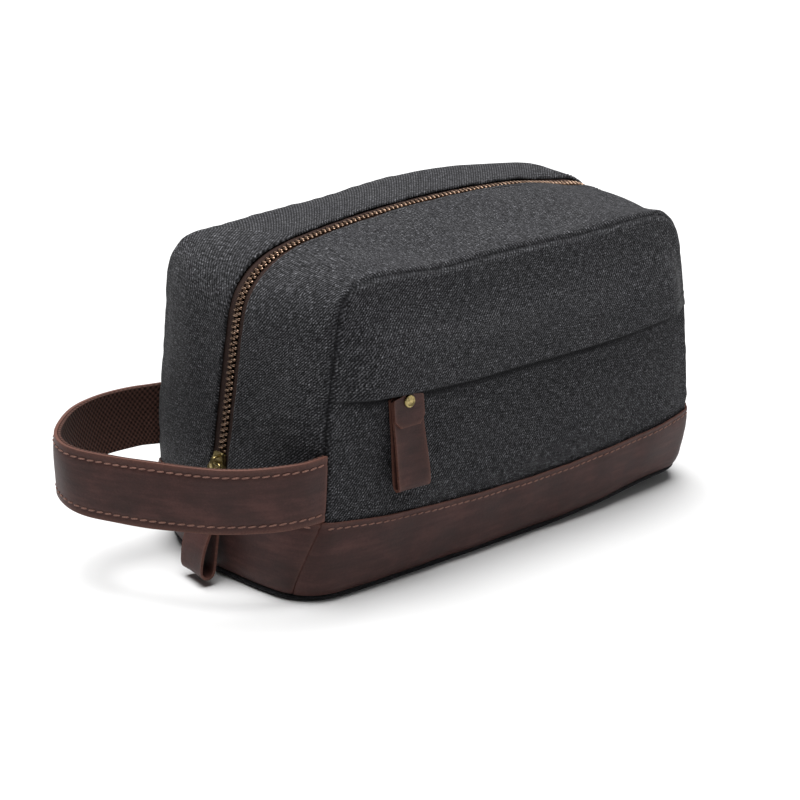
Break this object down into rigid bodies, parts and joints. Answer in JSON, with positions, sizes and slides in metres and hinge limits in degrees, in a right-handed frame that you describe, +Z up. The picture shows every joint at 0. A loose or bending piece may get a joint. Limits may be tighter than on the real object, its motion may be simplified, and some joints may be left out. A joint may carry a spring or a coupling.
{
  "type": "shaving kit bag",
  "caption": "Canvas and leather wash bag with a curved mouth zip, a zipped front pocket under a flap, leather zip pulls and a leather wrist strap.",
  "frame": {"origin": "middle of the flat underside, on the surface the bag stands on", "axes": "+X along the length away from the wrist strap, +Y to the back, away from the front pocket, +Z up"},
  "size_m": [0.3736, 0.1592, 0.1779],
  "materials": {
    "canvas": "heathered charcoal cotton canvas with a twill weave",
    "lining": "plain polyester lining",
    "leather": "matte oiled dark brown leather with lighter rubbed edges",
    "webbing": "ribbed dark brown webbing",
    "zip_tape": "woven brown zip tape",
    "zip_teeth": "antique copper",
    "brass": "antique brass",
    "board": "plain stiffening board"
  },
  "bodies": {
    "bag": {"bottom_panel": "canvas", "pocket_front_panel": "canvas", "upper_front_panel": "canvas", "back_panel": "canvas", "gusset_front": "canvas", "gusset_back": "canvas", "lining_floor": "lining", "gusset_lining_front": "lining", "gusset_lining_back": "lining", "lining_front": "lining", "lining_back": "lining", "front_pocket_bag": "lining", "slip_pocket": "lining", "base_band_front": "leather", "base_band_back": "leather", "base_band_left": "leather", "base_band_right": "leather", "strap_root_leather_front": "leather", "strap_root_leather_back": "leather", "strap_root_webbing_front": "webbing", "strap_root_webbing_back": "webbing", "main_zip_tape_front": "zip_tape", "main_zip_tape_back": "zip_tape", "pocket_zip_tape_upper": "zip_tape", "pocket_zip_tape_lower": "zip_tape", "main_zip_teeth_front": "zip_teeth", "main_zip_teeth_back": "zip_teeth", "pocket_zip_teeth_upper": "zip_teeth", "pocket_zip_teeth_lower": "zip_teeth", "main_zip_stop_left": "brass", "main_zip_stop_right": "brass", "pocket_zip_stop_left": "brass", "pocket_zip_stop_right": "brass", "base_board": "board"},
    "flap": {"pocket_flap": "canvas"},
    "strap": {"strap_leather": "leather", "strap_webbing": "webbing"},
    "main_slider": {"main_slider_body": "brass"},
    "main_bail": {"main_bail": "brass"},
    "main_pull": {"main_pull_strip": "leather", "main_pull_rivet": "brass", "main_pull_washer": "brass"},
    "pocket_slider": {"pocket_slider_body": "brass"},
    "pocket_bail": {"pocket_bail": "brass"},
    "pocket_pull": {"pocket_pull_strip": "leather", "pocket_pull_rivet": "brass", "pocket_pull_washer": "brass"}
  },
  "joints": [
    {"name": "main_zip_slide", "type": "slide", "parent": "bag", "child": "main_slider", "axis": [0.1637, 0, 0.9865], "range_m": [0, 0.065]},
    {"name": "main_bail_swing", "type": "hinge", "parent": "main_slider", "child": "main_bail", "pos_m": [-0.14987, 0, 0.06024], "axis": [0, 1, 0], "range_deg": [-1, 40]},
    {"name": "main_pull_swing", "type": "hinge", "parent": "main_bail", "child": "main_pull", "pos_m": [-0.15425, 0, 0.05014], "axis": [0, 1, 0], "range_deg": [-3, 15]},
    {"name": "pocket_zip_slide", "type": "slide", "parent": "bag", "child": "pocket_slider", "axis": [1, 0, 0], "range_m": [0, 0.17]},
    {"name": "pocket_bail_swing", "type": "hinge", "parent": "pocket_slider", "child": "pocket_bail", "pos_m": [-0.0858, -0.0726, 0.1132], "axis": [-1, 0, 0], "range_deg": [-2, 3]},
    {"name": "pocket_pull_swing", "type": "hinge", "parent": "pocket_bail", "child": "pocket_pull", "pos_m": [-0.0858, -0.0752, 0.10251], "axis": [-1, 0, 0], "range_deg": [0, 35]},
    {"name": "flap_lift", "type": "hinge", "parent": "bag", "child": "flap", "pos_m": [0, -0.0751, 0.117], "axis": [-1, 0, 0], "range_deg": [0, 35]},
    {"name": "strap_swing", "type": "hinge", "parent": "bag", "child": "strap", "pos_m": [-0.1463, 0, 0.06414], "axis": [0, -0.9989, -0.0466], "range_deg": [-35, 25], "stiffness_Nm_per_rad": 0.35}
  ]
}
